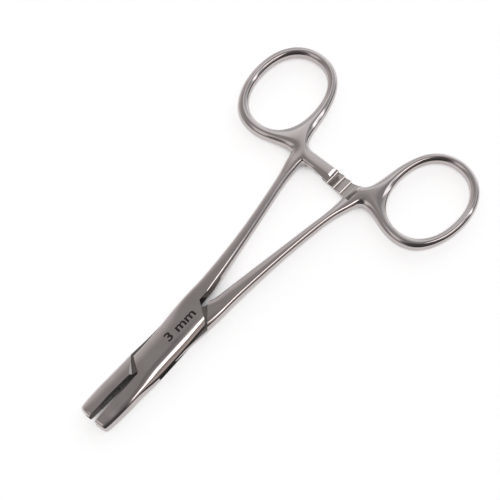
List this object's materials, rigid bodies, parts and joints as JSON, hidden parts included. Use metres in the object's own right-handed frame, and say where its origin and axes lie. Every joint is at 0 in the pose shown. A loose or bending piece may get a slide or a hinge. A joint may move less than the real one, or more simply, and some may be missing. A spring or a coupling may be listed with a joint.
{
  "type": "piercing forceps",
  "caption": "Locking steel forceps with two finger rings, a ratchet, a box joint and blunt jaws with a round channel for holding a piercing ring or bead.",
  "frame": {"origin": "on the axis of the joint's pin, at the underside of the box", "axes": "+X along the instrument to the tips of the jaws, +Y to the ring of the tongue branch, +Z along the pin, up from the flat underside"},
  "size_m": [0.1286, 0.0803, 0.0052],
  "materials": {
    "polished_steel": "polished stainless steel",
    "pin_steel": "ground flush with the box and polished with it"
  },
  "bodies": {
    "box_side": {"box_branch": "polished_steel", "joint_pin": "pin_steel"},
    "tongue_side": {"tongue_branch": "polished_steel"}
  },
  "joints": [
    {"name": "box_joint", "type": "hinge", "parent": "box_side", "child": "tongue_side", "pos_m": [0, 0, 0], "axis": [0, 0, -1], "range_deg": [-3.6, 38]}
  ]
}
